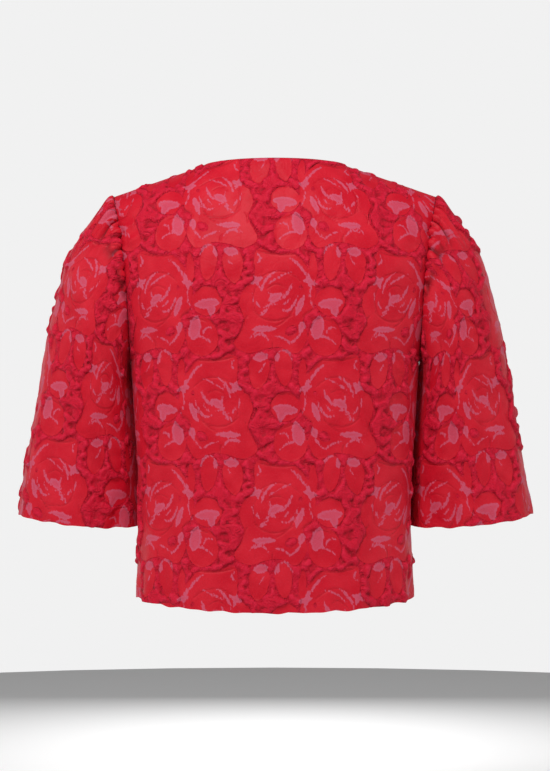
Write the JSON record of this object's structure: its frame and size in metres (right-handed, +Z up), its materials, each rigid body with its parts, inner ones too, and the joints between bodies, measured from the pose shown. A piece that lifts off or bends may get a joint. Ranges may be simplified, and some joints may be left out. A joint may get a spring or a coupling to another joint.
{
  "type": "puff sleeve blouse",
  "caption": "Boxy round-neck blouse of puckered woven cloth, with sleeves gathered into the armholes and flaring to open hems, filled out as worn.",
  "frame": {"origin": "midway between the two neck points, the inner ends of the shoulder seams, where the shoulders carry the blouse", "axes": "+Z up, +X to the wearer's left, -Y out of the blouse's front, so the back faces +Y"},
  "size_m": [0.638, 0.2412, 0.5421],
  "materials": {
    "back": "puckered woven cloth, soft satin sheen",
    "front": "puckered woven cloth, soft satin sheen",
    "sleeve_left": "puckered woven cloth, soft satin sheen",
    "sleeve_right": "puckered woven cloth, soft satin sheen"
  },
  "bodies": {
    "root": {"back": "back", "front": "front", "sleeve_left": "sleeve_left", "sleeve_right": "sleeve_right"}
  },
  "joints": []
}
